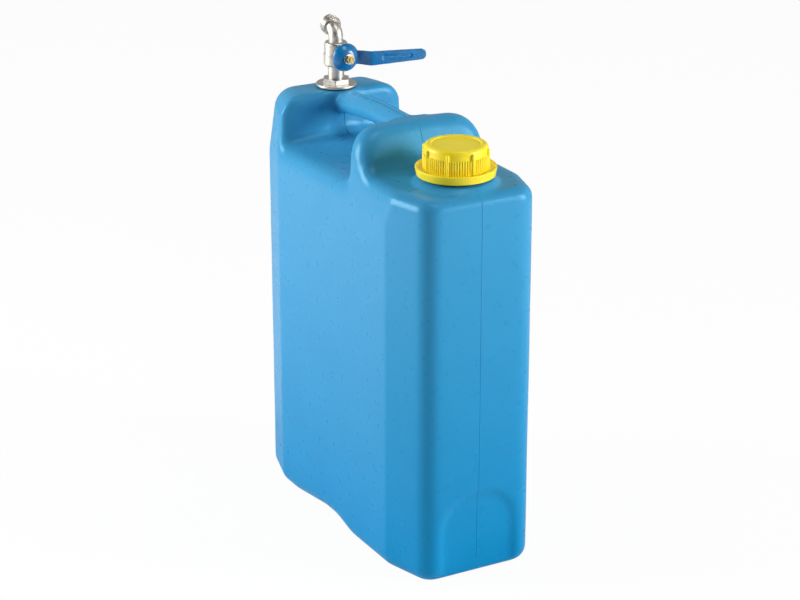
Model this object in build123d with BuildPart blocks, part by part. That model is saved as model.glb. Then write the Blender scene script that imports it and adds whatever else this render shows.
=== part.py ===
from build123d import *
import os
from math import cos, radians, sin, sqrt, tan

# Water container of about 20 litres, blow-moulded in one piece, with a screw cap at one end
# and a ball-valve tap at the other. Millimetres, +Z up, the base stands on Z = 0.
# +X is the filler-cap end, -X the tap end. The origin is the middle of the base.

# Tank: plan, walls and heights
LENGTH = 358.0
WIDTH = 156.3
END_WIDTH = 124.0        # width of each end face, before its corners are rounded
END_TAPER = 58.8         # length of the taper from the full width to an end face
END_CORNER_R = 22.0
WALL = 2.5
SHOULDER_Z = 380.0       # the sides lean inwards from here up
SIDE_LEAN = 5.7          # degrees
BASE_EDGE_R = 15.0

# Places along the tank, each measured from an end or from its neighbour
FILLER_X = LENGTH / 2 - 53.0
TAP_X = 47.3 - LENGTH / 2
SCOOP_FOOT_X = FILLER_X - 57.0
POCKET_FRONT_X = SCOOP_FOOT_X - 47.0
POCKET_BACK_X = TAP_X + 19.7
TOWER_END_X = POCKET_FRONT_X - 12.0    # cut face of the tower, between the grip pockets
HUMP_START_X = POCKET_FRONT_X - 42.0   # cut face of the hump, between the grip pockets
HANDLE_START_X = TAP_X + 5.7
HANDLE_TOP_X = POCKET_FRONT_X - 27.0
HANDLE_END_X = POCKET_FRONT_X + 28.0

# Tower under the tap
TOWER_Z = 450.5
TOWER_EDGE_R = 24.0
TOWER_CORNER_GAIN = 4.0  # how much its upright corners grow in radius towards the top

# Hump between the grip pockets and the filler, and the scoop in front of it
HUMP_Z = 458.0
HUMP_EDGE_R = 32.0
PLATFORM_Z = 415.0
PLATFORM_FALL = 1.0      # the platform falls this much towards the end
SCOOP_SLOPE = 22.5       # degrees from upright
SCOOP_HOLLOW_R = 25.0
SCOOP_EDGE_R = 13.0

# Grip pockets on both sides of the handle
POCKET_FLOOR_Z = 405.0
POCKET_FLOOR_STEP = 2.0  # the floor is this much higher at the front, in the tank's middle
POCKET_MOUTH_STEP = 5.5  # and this much in the pocket's mouth
POCKET_FLARE_BACK = 5.0
POCKET_FLARE_FRONT = 14.0
POCKET_FLARE_DOWN = 11.0
POCKET_CORNER_R = 12.0
POCKET_RIM = 4.0         # depth of the eased rim on top
POCKET_RIM_R = 7.0
POCKET_LIP_DEPTH = 12.0  # depth of the belled rim in the sides
POCKET_LIP = 12.0        # how far that rim opens at the end of the cutting shape
POCKET_OVERSHOOT = 12.0  # reach of the cutting shape past the sides

# Handle: a bowed hollow bar with a ridge on top
HANDLE_TOP_Z = 459.0
HANDLE_BOW_R = 650.0
HANDLE_HALF_WIDTH = 13.5
HANDLE_DEPTH = 23.0
HANDLE_RIDGE_HALF_WIDTH = 3.5
HANDLE_RIDGE_R = 3.0
HANDLE_FOOT_R = 6.0

# Base tunnel and the finger recess in the filler end
TUNNEL_BACK_X = TAP_X + 39.7
TUNNEL_ROOF_START = 68.0 # its flat roof, measured from its back
TUNNEL_ROOF_END = 96.0
TUNNEL_LENGTH = 130.0
TUNNEL_RISE = 8.5
TUNNEL_R = 80.0          # of its soft bends
RECESS_HALF_WIDTH = 47.0
RECESS_TOP_Z = 96.0
RECESS_CORNER_R = 42.0
RECESS_DEPTH = 3.5
RECESS_SLOPE = 8.0       # width of its sloping border

# Filler neck
NECK_R = 28.2
NECK_BORE_R = 25.0
NECK_RIM_Z = 449.7
NECK_RING_R = 45.0       # foot of the raised ring round the neck
NECK_RING_TOP_R = 38.0
NECK_RING_Z = 421.0

# Filler cap
CAP_SKIRT_Z = 423.3
CAP_LIP_Z = 432.0
CAP_LIP_R = 41.4
CAP_SKIRT_R = 39.8
CAP_GUTTER_Z = 429.6
CAP_BODY_R = 33.2
CAP_SHOULDER_R = 32.0
CAP_TOP_Z = 455.6
CAP_EDGE_R = 4.2
CAP_DISC_R = 25.0
CAP_DISC_DEPTH = 1.4
CAP_BORE_R = 31.0
CAP_WALL = 2.0
CAP_LIP_T = 2.0
CAP_RIBS = 8
CAP_RIB_R = 35.7
CAP_RIB_WIDTH = 3.2
CAP_SEAL_T = 2.0
CAP_SEAL_CLEARANCE = 0.3
CAP_SEAL_GAP = 0.2       # between the seal and the cap's roof

# Tap: the flanged wall fitting
GASKET_T = 1.5
GASKET_R = 20.5
FLANGE_R = 22.0
FLANGE_T = 2.7
FLANGE_EDGE_R = 1.0
FLANGE_HEX = 27.0        # across flats
FLANGE_HEX_T = 5.3
FLANGE_HEX_TURN = -29.0  # degrees, where its first corner points
SHANK_R = 10.2
SHANK_LENGTH = 20.0      # below the flange
SHANK_BORE_R = 8.1
SHANK_CLEARANCE = 0.3
TAP_BOSS_R = 23.4
TAP_BOSS_FOOT_R = 13.0
TAP_BOSS_HEIGHT = 30.0
LOCK_NUT_HEX = 27.0
LOCK_NUT_T = 6.5
INNER_GASKET_R = 16.5

# Tap: valve, with its ball on the stem's height
STEM_Z = 487.5
VALVE_FOOT_Z = 473.6
VALVE_HEAD_Z = 500.5
VALVE_R = 13.2
VALVE_HEAD_R = 12.5
VALVE_EDGE_R = 2.8
VALVE_SOCKET_R = 10.1
CHAMBER_R = 8.6
TAIL_R = 8.75
TAIL_SPIGOT_R = 8.0
TAIL_SPIGOT_LENGTH = 14.0
TAIL_THREAD_R = 10.0
TAIL_LIP_R = 8.0
WATERWAY_R = 5.0
O_RING_T = 1.0
BALL_R = 8.0
BALL_BORE_R = 4.75
SEAT_GAP = 0.05          # running fit of the ball in its seats
SEAT_NEAR = 5.2          # seat faces, measured from the ball's centre
SEAT_FAR = 9.2
SEAT_R = 8.5
SEAT_BORE_R = 4.9

# Tap: spout
SPOUT_R = 7.75
SPOUT_RISE = 4.5
SPOUT_BEND_R = 10.0
SPOUT_BEND = 75.0        # degrees
SPOUT_END_LENGTH = 9.0
SPOUT_THREAD_R = 10.45
SPOUT_THREAD_LENGTH = 8.5

# Tap: stem, packing and gland, measured along +X from the tap's axis
STEM_R = 3.0
STEM_RUN = 0.05          # running clearance round the stem
STEM_TANG_X = 6.0
STEM_TANG_WIDTH = 3.0
STEM_TANG_LENGTH = 7.0
STEM_TANG_CLEARANCE = 0.05
STEM_COLLAR_X = 8.1
STEM_COLLAR_R = 4.4
STEM_COLLAR_END_X = 10.4
THRUST_WASHER_T = 0.8
STEM_POCKET_R = 4.7
STEM_POCKET_END_X = 11.3
PACKING_X = 12.5
PACKING_R = 5.0
PACKING_T = 3.0
BOSS_R = 7.5
BOSS_END_X = 18.5
GLAND_HEX = 12.0
GLAND_HEAD_T = 2.5
STEM_FLAT_X = 24.5
STEM_FLATS = 5.1         # across the two flats
STEM_THREAD_R = 2.5
STEM_THREAD_X = 30.4
STEM_END_X = 36.5

# Tap: lever
HUB_RIM_X = 21.8
HUB_R = 15.6
HUB_APEX_X = 30.5
HUB_APEX_R = 6.5
HUB_BULGE = (27.3, 12.2)     # a point on the dome, from the tap's axis and from the stem's
HUB_HOLLOW_R = 9.6
HUB_WEB_X = 26.0
LEVER_T = 3.2
LEVER_BEND_R = 4.0
LEVER_TIP_R = 5.5
LEVER_ROOT = (25.0, 6.0)
LEVER_NECK = (28.2, 12.6)
LEVER_BEND = (39.6, 22.0)
LEVER_TIP = (50.0, 83.0)
LEVER_BEND_HEIGHT = 15.4
LEVER_TIP_HEIGHT = 11.4
LEVER_ROOT_HEIGHT = 14.0
LEVER_GROOVE_START = 12.0   # from the bend, along the arm
LEVER_GROOVE_LENGTH = 34.0
LEVER_GROOVE_WIDTH = 5.5
LEVER_GROOVE_DEPTH = 0.8
STOP_PIN_R = 1.3
STOP_PIN_TRACK_R = 12.0
STOP_PIN_ANGLE = -45.0   # degrees, from the shut lever's direction
STOP_PIN_DEPTH = 3.0     # how deep it sits in the valve body
STOP_PIN_REACH = 1.9     # how far the pin stands into the hub
STOP_CLEARANCE = 0.35
LEVER_SWING = 90.0
LEVER_WASHER_R = 5.9
LEVER_WASHER_T = 1.0
LEVER_NUT_HEX = 8.0
LEVER_NUT_T = 4.0
THREAD_GAP = 0.08        # left between a plain thread and its nut

os.makedirs("parts", exist_ok=True)

TAP_PLANE = Plane(origin=(TAP_X, 0, 0), x_dir=(1, 0, 0), z_dir=(0, -1, 0))
TAP_AXIS = Axis((TAP_X, 0, 0), (0, 0, 1))
CAP_PLANE = Plane(origin=(FILLER_X, 0, 0), x_dir=(1, 0, 0), z_dir=(0, -1, 0))
CAP_AXIS = Axis((FILLER_X, 0, 0), (0, 0, 1))
STEM_PLANE = Plane(origin=(TAP_X, 0, STEM_Z), x_dir=(1, 0, 0), z_dir=(0, 0, 1))
STEM_AXIS = Axis((TAP_X, 0, STEM_Z), (1, 0, 0))


def tap_level(z):
    """Level plane centred on the tap's axis."""
    return Plane(origin=(TAP_X, 0, z))


def cap_level(z):
    """Level plane centred on the filler's axis."""
    return Plane(origin=(FILLER_X, 0, z))


def stem_station(x):
    """Plane across the stem, at distance x from the tap's axis, its own x along the tank's width."""
    return Plane(origin=(TAP_X + x, 0, STEM_Z), x_dir=(0, 1, 0), z_dir=(1, 0, 0))


# The tank is one hollow moulding. Each form below is drawn for its outside, and drawn again
# with the wall as its inset for the hollow, so that the wall follows every shape.

def tank_plan(inset, corner_r):
    """The tank seen from above: straight long sides, tapered ends, rounded end corners."""
    end_x = LENGTH / 2 - inset
    side_y = WIDTH / 2 - inset
    end_y = END_WIDTH / 2 - inset
    crease_x = LENGTH / 2 - END_TAPER
    quarter = [(crease_x, side_y), (end_x, end_y)]
    corners = quarter + [(x, -y) for x, y in reversed(quarter)]
    corners += [(-x, -y) for x, y in quarter] + [(-x, y) for x, y in reversed(quarter)]
    with BuildSketch() as plan:
        Polygon(*corners, align=None)
        fillet([v for v in plan.vertices() if abs(abs(v.X) - end_x) < 0.01], corner_r)
    return plan.sketch


def tower_form(inset):
    """The block under the tap, leaning inwards, with a rounded top edge."""
    top_z = TOWER_Z - inset
    lean = (top_z - SHOULDER_Z) * tan(radians(SIDE_LEAN))
    foot = tank_plan(inset, END_CORNER_R - inset)
    top = tank_plan(inset + lean, END_CORNER_R - inset + TOWER_CORNER_GAIN)
    with BuildPart() as tower:
        with BuildSketch(Plane.XY.offset(SHOULDER_Z)):
            add(foot)
        with BuildSketch(Plane.XY.offset(top_z)):
            add(top)
        loft(ruled=True)
        fillet(tower.faces().sort_by(Axis.Z)[-1].edges(), TOWER_EDGE_R - inset)
        split(bisect_by=Plane.YZ.offset(TOWER_END_X), keep=Keep.BOTTOM)
    return tower.part


def hump_form(inset):
    """The arched hump and, in front of it, the scooped platform that carries the filler."""
    side_y = WIDTH / 2
    arch_y = side_y - (HUMP_Z - SHOULDER_Z) * tan(radians(SIDE_LEAN))
    above = HUMP_Z + 20
    scoop_top_x = SCOOP_FOOT_X - (above - PLATFORM_Z) * tan(radians(SCOOP_SLOPE))
    plan = tank_plan(inset, END_CORNER_R - inset)
    with BuildPart() as hump:
        with BuildSketch(Plane.XY.offset(SHOULDER_Z)):
            add(plan)
        extrude(amount=HUMP_Z - SHOULDER_Z)
        with BuildSketch(Plane.YZ.offset(HUMP_START_X)) as arch:
            Polygon(
                (-side_y, 0), (-side_y, SHOULDER_Z), (-arch_y, HUMP_Z),
                (arch_y, HUMP_Z), (side_y, SHOULDER_Z), (side_y, 0), align=None)
            fillet(arch.vertices().group_by(Axis.Y)[-1], HUMP_EDGE_R)
            if inset:
                offset(amount=-inset)
        extrude(amount=LENGTH, mode=Mode.INTERSECT)
        with BuildSketch(Plane.XZ) as scoop:
            Polygon(
                (scoop_top_x, above), (SCOOP_FOOT_X, PLATFORM_Z),
                (LENGTH, PLATFORM_Z - PLATFORM_FALL), (LENGTH, above), align=None)
            fillet(scoop.vertices().sort_by_distance((SCOOP_FOOT_X, PLATFORM_Z))[0], SCOOP_HOLLOW_R)
            if inset:
                offset(amount=inset)
        extrude(amount=WIDTH, both=True, mode=Mode.SUBTRACT)
        fillet(scoop_rim(hump.edges(), inset), SCOOP_EDGE_R - inset)
    return hump.part


def scoop_rim(edges, inset):
    """The edges round the scoop: over the hump, down its sides and along the platform."""
    rim = []
    for edge in edges:
        middle = edge.center()
        across = abs(middle.Y) < 1
        inside = SCOOP_FOOT_X - SCOOP_EDGE_R < middle.X < LENGTH / 2 - inset - 1
        above = middle.Z > PLATFORM_Z - inset - 5
        if above and middle.X > SCOOP_FOOT_X - SCOOP_HOLLOW_R and not (across and inside):
            rim.append(edge)
    return rim


def pocket_form(inset):
    """The grip pockets: one trough across the tank, flaring to both sides, with a belled rim."""
    above = HUMP_Z + 10
    reach = WIDTH / 2 + POCKET_OVERSHOOT
    lip_y = WIDTH / 2 - POCKET_LIP_DEPTH
    with BuildPart() as pocket:
        for side in (-1, 1):
            for y, lip in ((0, 0), (lip_y, 0), (reach, POCKET_LIP)):
                flare = y / reach
                back_x = POCKET_BACK_X - POCKET_FLARE_BACK * flare - lip
                front_x = POCKET_FRONT_X + POCKET_FLARE_FRONT * flare + lip
                back_z = POCKET_FLOOR_Z - POCKET_FLARE_DOWN * flare - lip
                front_z = back_z + POCKET_FLOOR_STEP * (1 - flare) + POCKET_MOUTH_STEP * flare
                tower_rim_z = TOWER_Z - POCKET_RIM
                hump_rim_z = HUMP_Z - POCKET_RIM
                with BuildSketch(Plane.XZ.offset(-side * y)) as section:
                    Polygon(
                        (back_x - above + tower_rim_z, above), (back_x, tower_rim_z), (back_x, back_z),
                        (front_x, front_z), (front_x, hump_rim_z),
                        (front_x + above - hump_rim_z, above), align=None)
                    floor_corners = [v for v in section.vertices() if v.Y < front_z + 1]
                    fillet(floor_corners, POCKET_CORNER_R)
                    fillet([v for v in section.vertices() if tower_rim_z - 1 < v.Y < HUMP_Z], POCKET_RIM_R)
                    if inset:
                        offset(amount=inset)
            loft(ruled=True)
    return pocket.part


def handle_form(inset):
    """The handle: a ridged bar along the middle, bowed a little, reaching into tower and hump."""
    bow_base_z = HANDLE_TOP_Z - HANDLE_BOW_R
    top = Vector(HANDLE_TOP_X, 0, HANDLE_TOP_Z)
    start, end = [
        Vector(x, 0, bow_base_z + sqrt(HANDLE_BOW_R ** 2 - (x - HANDLE_TOP_X) ** 2))
        for x in (HANDLE_START_X, HANDLE_END_X)]
    foot_half_width = HANDLE_HALF_WIDTH - HANDLE_FOOT_R + 2
    with BuildLine() as bow:
        ThreePointArc(start, top, end)
    with BuildPart() as handle:
        with BuildSketch(Plane(origin=bow.line @ 0, x_dir=(0, 1, 0), z_dir=bow.line % 0)) as section:
            Polygon(
                (-foot_half_width, -HANDLE_DEPTH), (foot_half_width, -HANDLE_DEPTH),
                (HANDLE_HALF_WIDTH, -HANDLE_DEPTH / 2), (HANDLE_RIDGE_HALF_WIDTH, 0),
                (-HANDLE_RIDGE_HALF_WIDTH, 0), (-HANDLE_HALF_WIDTH, -HANDLE_DEPTH / 2), align=None)
            fillet(section.vertices().group_by(Axis.Y)[0], HANDLE_FOOT_R)
            fillet(section.vertices().group_by(Axis.Y)[-1], HANDLE_RIDGE_R)
            fillet([v for v in section.vertices() if abs(abs(v.X) - HANDLE_HALF_WIDTH) < 0.01], HANDLE_FOOT_R)
            if inset:
                offset(amount=-inset)
        sweep(path=bow.line)
    return handle.part


def base_rim(edges, end_x):
    """The edges round the underside, without the seams that cross it."""
    low = [e for e in edges if e.center().Z < TUNNEL_RISE + BASE_EDGE_R]
    return [e for e in low if abs(e.center().Y) > 1 or abs(e.center().X) > end_x - 1]


def tank_form(inset):
    """The whole tank: its outside, or with an inset the hollow inside it."""
    plan = tank_plan(inset, END_CORNER_R - inset)
    tower = tower_form(inset)
    hump = hump_form(inset)
    pockets = pocket_form(inset)
    handle = handle_form(inset)
    end_x = LENGTH / 2 - inset
    with BuildPart() as tank:
        with BuildSketch(Plane.XY.offset(-BASE_EDGE_R)):
            add(plan)
        extrude(amount=SHOULDER_Z + BASE_EDGE_R)

        # the underside, with a low tunnel across it, and the round edge that follows both
        with BuildSketch(Plane.XZ) as underside:
            Polygon(
                (-LENGTH, 0), (TUNNEL_BACK_X, 0), (TUNNEL_BACK_X + TUNNEL_ROOF_START, TUNNEL_RISE),
                (TUNNEL_BACK_X + TUNNEL_ROOF_END, TUNNEL_RISE), (TUNNEL_BACK_X + TUNNEL_LENGTH, 0),
                (LENGTH, 0), (LENGTH, -LENGTH), (-LENGTH, -LENGTH), align=None)
            fillet([v for v in underside.vertices() if abs(v.X) < LENGTH / 2], TUNNEL_R)
            if inset:
                offset(amount=inset)
        extrude(amount=WIDTH, both=True, mode=Mode.SUBTRACT)
        fillet(base_rim(tank.edges(), end_x), BASE_EDGE_R - inset)
        add(tower)
        add(hump)
        add(pockets, mode=Mode.SUBTRACT)
        add(handle)

        # round boss under the tap, its foot lost in the tower and the handle
        with BuildSketch(tap_level(TOWER_Z - inset)):
            Circle(TAP_BOSS_R - inset)
        with BuildSketch(tap_level(TOWER_Z - TAP_BOSS_HEIGHT)):
            Circle(TAP_BOSS_FOOT_R - inset)
        loft(ruled=True)

        # raised ring round the filler neck
        with BuildSketch(cap_level(NECK_RING_Z - inset)):
            Circle(NECK_RING_TOP_R - inset / 2)
        with BuildSketch(cap_level(PLATFORM_Z - PLATFORM_FALL - inset)):
            Circle(NECK_RING_R - inset / 2)
        loft(ruled=True)

        # finger recess in the filler end, open at the base
        for depth, slope in ((0, RECESS_SLOPE), (RECESS_DEPTH, 0)):
            half_width = RECESS_HALF_WIDTH - RECESS_SLOPE + slope + inset
            top_z = RECESS_TOP_Z - RECESS_SLOPE + slope + inset
            with BuildSketch(Plane.YZ.offset(end_x - depth)) as mouth:
                Polygon(
                    (-half_width, -BASE_EDGE_R), (half_width, -BASE_EDGE_R),
                    (half_width, top_z), (-half_width, top_z), align=None)
                fillet(mouth.vertices().group_by(Axis.Y)[-1], RECESS_CORNER_R - RECESS_SLOPE + slope)
        loft(ruled=True, mode=Mode.SUBTRACT)
    return tank.part


outside = tank_form(0)
hollow = tank_form(WALL)

with BuildPart() as container_body:
    add(outside)
    with BuildSketch(cap_level(PLATFORM_Z - WALL)):
        Circle(NECK_R)
    extrude(amount=NECK_RIM_Z - PLATFORM_Z + WALL)
    add(hollow, mode=Mode.SUBTRACT)
    with BuildSketch(cap_level(NECK_RIM_Z)):
        Circle(NECK_BORE_R)
    extrude(amount=PLATFORM_Z - NECK_RIM_Z - 2 * WALL, mode=Mode.SUBTRACT)
    with BuildSketch(tap_level(TOWER_Z)):
        Circle(SHANK_R + SHANK_CLEARANCE)
    extrude(amount=-2 * WALL, mode=Mode.SUBTRACT)

# Filler cap: a screw cap with a ribbed grip, a drip lip round its foot and a dished top
CAP_ROOF_Z = CAP_TOP_Z - CAP_DISC_DEPTH - CAP_WALL
CAP_LEDGE_Z = CAP_GUTTER_Z - CAP_WALL
CAP_RIB_ROOT_R = (CAP_BORE_R + CAP_SHOULDER_R) / 2

with BuildPart() as filler_cap:
    with BuildSketch(CAP_PLANE) as profile:
        Polygon(
            (0, CAP_ROOF_Z), (0, CAP_TOP_Z - CAP_DISC_DEPTH), (CAP_DISC_R, CAP_TOP_Z - CAP_DISC_DEPTH),
            (CAP_DISC_R + CAP_DISC_DEPTH / 2, CAP_TOP_Z), (CAP_SHOULDER_R, CAP_TOP_Z),
            (CAP_BODY_R, CAP_GUTTER_Z), (CAP_SKIRT_R - CAP_LIP_T, CAP_GUTTER_Z),
            (CAP_LIP_R - CAP_LIP_T, CAP_LIP_Z), (CAP_LIP_R, CAP_LIP_Z), (CAP_SKIRT_R, CAP_SKIRT_Z),
            (CAP_SKIRT_R - CAP_LIP_T, CAP_SKIRT_Z), (CAP_SKIRT_R - CAP_LIP_T, CAP_LEDGE_Z),
            (CAP_BORE_R, CAP_LEDGE_Z), (CAP_BORE_R, CAP_ROOF_Z), align=None)
        fillet(profile.vertices().sort_by_distance((CAP_SHOULDER_R, CAP_TOP_Z))[0], CAP_EDGE_R)
        fillet(profile.vertices().sort_by_distance((CAP_BODY_R, CAP_GUTTER_Z))[0], CAP_LIP_T / 2)
        fillet(profile.vertices().sort_by_distance((CAP_LIP_R, CAP_LIP_Z))[0], CAP_LIP_T / 3)
    revolve(axis=CAP_AXIS)
    with BuildSketch(cap_level(CAP_GUTTER_Z)):
        with PolarLocations((CAP_RIB_ROOT_R + CAP_RIB_R) / 2, CAP_RIBS):
            Rectangle(CAP_RIB_R - CAP_RIB_ROOT_R, CAP_RIB_WIDTH)
    extrude(amount=CAP_TOP_Z - CAP_EDGE_R - CAP_GUTTER_Z)

with BuildPart() as cap_seal:
    with BuildSketch(cap_level(CAP_ROOF_Z - CAP_SEAL_GAP)):
        Circle(CAP_BORE_R - CAP_SEAL_CLEARANCE)
    extrude(amount=-CAP_SEAL_T)

# Tap: the flanged fitting that clamps the tank's top between two gaskets and a lock nut
FLANGE_Z = TOWER_Z + GASKET_T
FITTING_TOP_Z = FLANGE_Z + FLANGE_T + FLANGE_HEX_T
LOCK_NUT_TOP_Z = TOWER_Z - WALL - GASKET_T

with BuildPart() as tap_gasket:
    with BuildSketch(tap_level(TOWER_Z)):
        Circle(GASKET_R)
        Circle(SHANK_R + SHANK_CLEARANCE, mode=Mode.SUBTRACT)
    extrude(amount=GASKET_T)

with BuildPart() as inner_gasket:
    with BuildSketch(tap_level(TOWER_Z - WALL)):
        Circle(INNER_GASKET_R)
        Circle(SHANK_R + SHANK_CLEARANCE, mode=Mode.SUBTRACT)
    extrude(amount=-GASKET_T)

with BuildPart() as lock_nut:
    with BuildSketch(tap_level(LOCK_NUT_TOP_Z)):
        RegularPolygon(LOCK_NUT_HEX / 2, 6, major_radius=False)
        Circle(SHANK_R + THREAD_GAP, mode=Mode.SUBTRACT)
    extrude(amount=-LOCK_NUT_T)

with BuildPart() as tap_flange:
    with BuildSketch(tap_level(FLANGE_Z)):
        Circle(FLANGE_R)
    extrude(amount=FLANGE_T)
    fillet(tap_flange.edges().group_by(Axis.Z)[-1], FLANGE_EDGE_R)
    with BuildSketch(tap_level(FLANGE_Z + FLANGE_T)):
        RegularPolygon(FLANGE_HEX / 2, 6, major_radius=False, rotation=FLANGE_HEX_TURN)
    extrude(amount=FLANGE_HEX_T)
    with BuildSketch(tap_level(FLANGE_Z)):
        Circle(SHANK_R)
    extrude(amount=-SHANK_LENGTH)
    with BuildSketch(tap_level(FITTING_TOP_Z)):
        Circle(SHANK_BORE_R)
    extrude(amount=FLANGE_Z - SHANK_LENGTH - FITTING_TOP_Z, mode=Mode.SUBTRACT)

# Tap: the tail that carries the valve, a nipple between the fitting and the valve's foot
TAIL_THREAD_TOP_Z = STEM_Z - SEAT_FAR - O_RING_T

with BuildPart() as valve_tail:
    with BuildSketch(TAP_PLANE):
        Polygon(
            (WATERWAY_R, FITTING_TOP_Z - TAIL_SPIGOT_LENGTH),
            (TAIL_SPIGOT_R, FITTING_TOP_Z - TAIL_SPIGOT_LENGTH), (TAIL_SPIGOT_R, FITTING_TOP_Z),
            (TAIL_R, FITTING_TOP_Z), (TAIL_R, VALVE_FOOT_Z), (TAIL_THREAD_R, VALVE_FOOT_Z),
            (TAIL_THREAD_R, TAIL_THREAD_TOP_Z), (TAIL_LIP_R, TAIL_THREAD_TOP_Z),
            (TAIL_LIP_R, STEM_Z - SEAT_FAR), (WATERWAY_R, STEM_Z - SEAT_FAR), align=None)
    revolve(axis=TAP_AXIS)

with BuildPart() as tail_o_ring:
    with BuildSketch(TAP_PLANE):
        with Locations((VALVE_SOCKET_R - O_RING_T / 2 - SEAT_GAP, STEM_Z - SEAT_FAR - O_RING_T / 2)):
            Circle(O_RING_T / 2)
    revolve(axis=TAP_AXIS)

# Tap: where the stop pin stands, seen along the stem
STOP_PIN_SPOT = Vector(STOP_PIN_TRACK_R, 0).rotate(Axis.Z, STOP_PIN_ANGLE)
STOP_PIN_X = sqrt(VALVE_R ** 2 - STOP_PIN_SPOT.X ** 2) - STOP_PIN_DEPTH

# Tap: valve body, with the spout that leaves its head and bends towards the end of the tank
with BuildLine(Plane(origin=(TAP_X, 0, 0), x_dir=(-1, 0, 0), z_dir=(0, 1, 0))) as spout_route:
    rise = Line((0, VALVE_HEAD_Z - VALVE_EDGE_R), (0, VALVE_HEAD_Z + SPOUT_RISE))
    bend = JernArc(start=rise @ 1, tangent=rise % 1, radius=SPOUT_BEND_R, arc_size=-SPOUT_BEND)
    run = Line(bend @ 1, bend @ 1 + (bend % 1) * SPOUT_END_LENGTH)
SPOUT_FOOT = Plane(origin=rise @ 0, z_dir=rise % 0)
SPOUT_END = Plane(origin=run @ 1, z_dir=run % 1)

with BuildPart() as valve_body:
    with BuildSketch(TAP_PLANE) as section:
        Polygon(
            (0, VALVE_FOOT_Z), (VALVE_R, VALVE_FOOT_Z), (VALVE_R, STEM_Z), (VALVE_HEAD_R, STEM_Z),
            (VALVE_HEAD_R, VALVE_HEAD_Z), (0, VALVE_HEAD_Z), align=None)
        fillet(section.vertices().sort_by_distance((VALVE_R, VALVE_FOOT_Z))[0], VALVE_EDGE_R)
        fillet(section.vertices().sort_by_distance((VALVE_HEAD_R, VALVE_HEAD_Z))[0], VALVE_EDGE_R)
    revolve(axis=TAP_AXIS)
    with BuildSketch(stem_station(0)):
        Circle(BOSS_R)
    extrude(amount=BOSS_END_X)
    with BuildSketch(SPOUT_FOOT):
        Circle(SPOUT_R)
    sweep(path=spout_route.wire())
    with BuildSketch(SPOUT_END):
        Circle(SPOUT_THREAD_R)
    extrude(amount=-SPOUT_THREAD_LENGTH)

    # what is hollow: socket and chamber, waterway, stem pocket, stem hole and packing pocket
    with BuildSketch(tap_level(VALVE_FOOT_Z)):
        Circle(VALVE_SOCKET_R)
    extrude(amount=STEM_Z - SEAT_FAR - VALVE_FOOT_Z, mode=Mode.SUBTRACT)
    with BuildSketch(tap_level(STEM_Z - SEAT_FAR)):
        Circle(CHAMBER_R)
    extrude(amount=2 * SEAT_FAR, mode=Mode.SUBTRACT)
    with BuildSketch(tap_level(STEM_Z)):
        Circle(WATERWAY_R)
    extrude(amount=VALVE_HEAD_Z - VALVE_EDGE_R - STEM_Z, mode=Mode.SUBTRACT)
    with BuildSketch(SPOUT_FOOT):
        Circle(WATERWAY_R)
    sweep(path=spout_route.wire(), mode=Mode.SUBTRACT)
    for start_x, end_x, hole_r in (
            (0, STEM_POCKET_END_X, STEM_POCKET_R), (0, BOSS_END_X, STEM_R + STEM_RUN),
            (PACKING_X, BOSS_END_X, PACKING_R)):
        with BuildSketch(stem_station(start_x)):
            Circle(hole_r)
        extrude(amount=end_x - start_x, mode=Mode.SUBTRACT)

    # hole that the stop pin is driven into
    with BuildSketch(stem_station(STOP_PIN_X)):
        with Locations(STOP_PIN_SPOT):
            Circle(STOP_PIN_R + THREAD_GAP)
    extrude(amount=VALVE_R, mode=Mode.SUBTRACT)

with BuildPart() as stop_pin:
    with BuildSketch(stem_station(STOP_PIN_X)):
        with Locations(STOP_PIN_SPOT):
            Circle(STOP_PIN_R)
    extrude(amount=HUB_RIM_X + STOP_PIN_REACH - STOP_PIN_X)
    fillet(stop_pin.edges().group_by(Axis.X)[-1], STOP_PIN_R / 3)


# Tap: the ball between its two seats
def seat_ring(side):
    """One seat: a ring hollowed to the ball's curve, above the ball or below it."""
    with BuildPart() as seat:
        with BuildSketch(tap_level(STEM_Z + side * SEAT_NEAR)):
            Circle(SEAT_R)
            Circle(SEAT_BORE_R, mode=Mode.SUBTRACT)
        extrude(amount=side * (SEAT_FAR - SEAT_NEAR))
        with Locations((TAP_X, 0, STEM_Z)):
            Sphere(BALL_R + SEAT_GAP, mode=Mode.SUBTRACT)
    return seat


lower_seat = seat_ring(-1)
upper_seat = seat_ring(1)

with BuildPart() as valve_ball:
    with Locations((TAP_X, 0, STEM_Z)):
        Sphere(BALL_R)
    with BuildSketch(Plane(origin=(TAP_X, 0, STEM_Z), x_dir=(1, 0, 0), z_dir=(0, 1, 0))):
        Circle(BALL_BORE_R)
    extrude(amount=BALL_R, both=True, mode=Mode.SUBTRACT)
    with BuildSketch(stem_station(STEM_TANG_X - STEM_TANG_CLEARANCE)):
        Rectangle(STEM_TANG_WIDTH + 2 * STEM_TANG_CLEARANCE, 2 * BALL_R)
    extrude(amount=BALL_R, mode=Mode.SUBTRACT)


def stem_section(clearance):
    """The two-flatted section that turns the lever with the stem."""
    with BuildSketch() as section:
        Circle(STEM_R + clearance)
        Rectangle(STEM_FLATS + 2 * clearance, 4 * STEM_R, mode=Mode.INTERSECT)
    return section.sketch


flatted = stem_section(0)
flatted_hole = stem_section(STEM_RUN)

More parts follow.
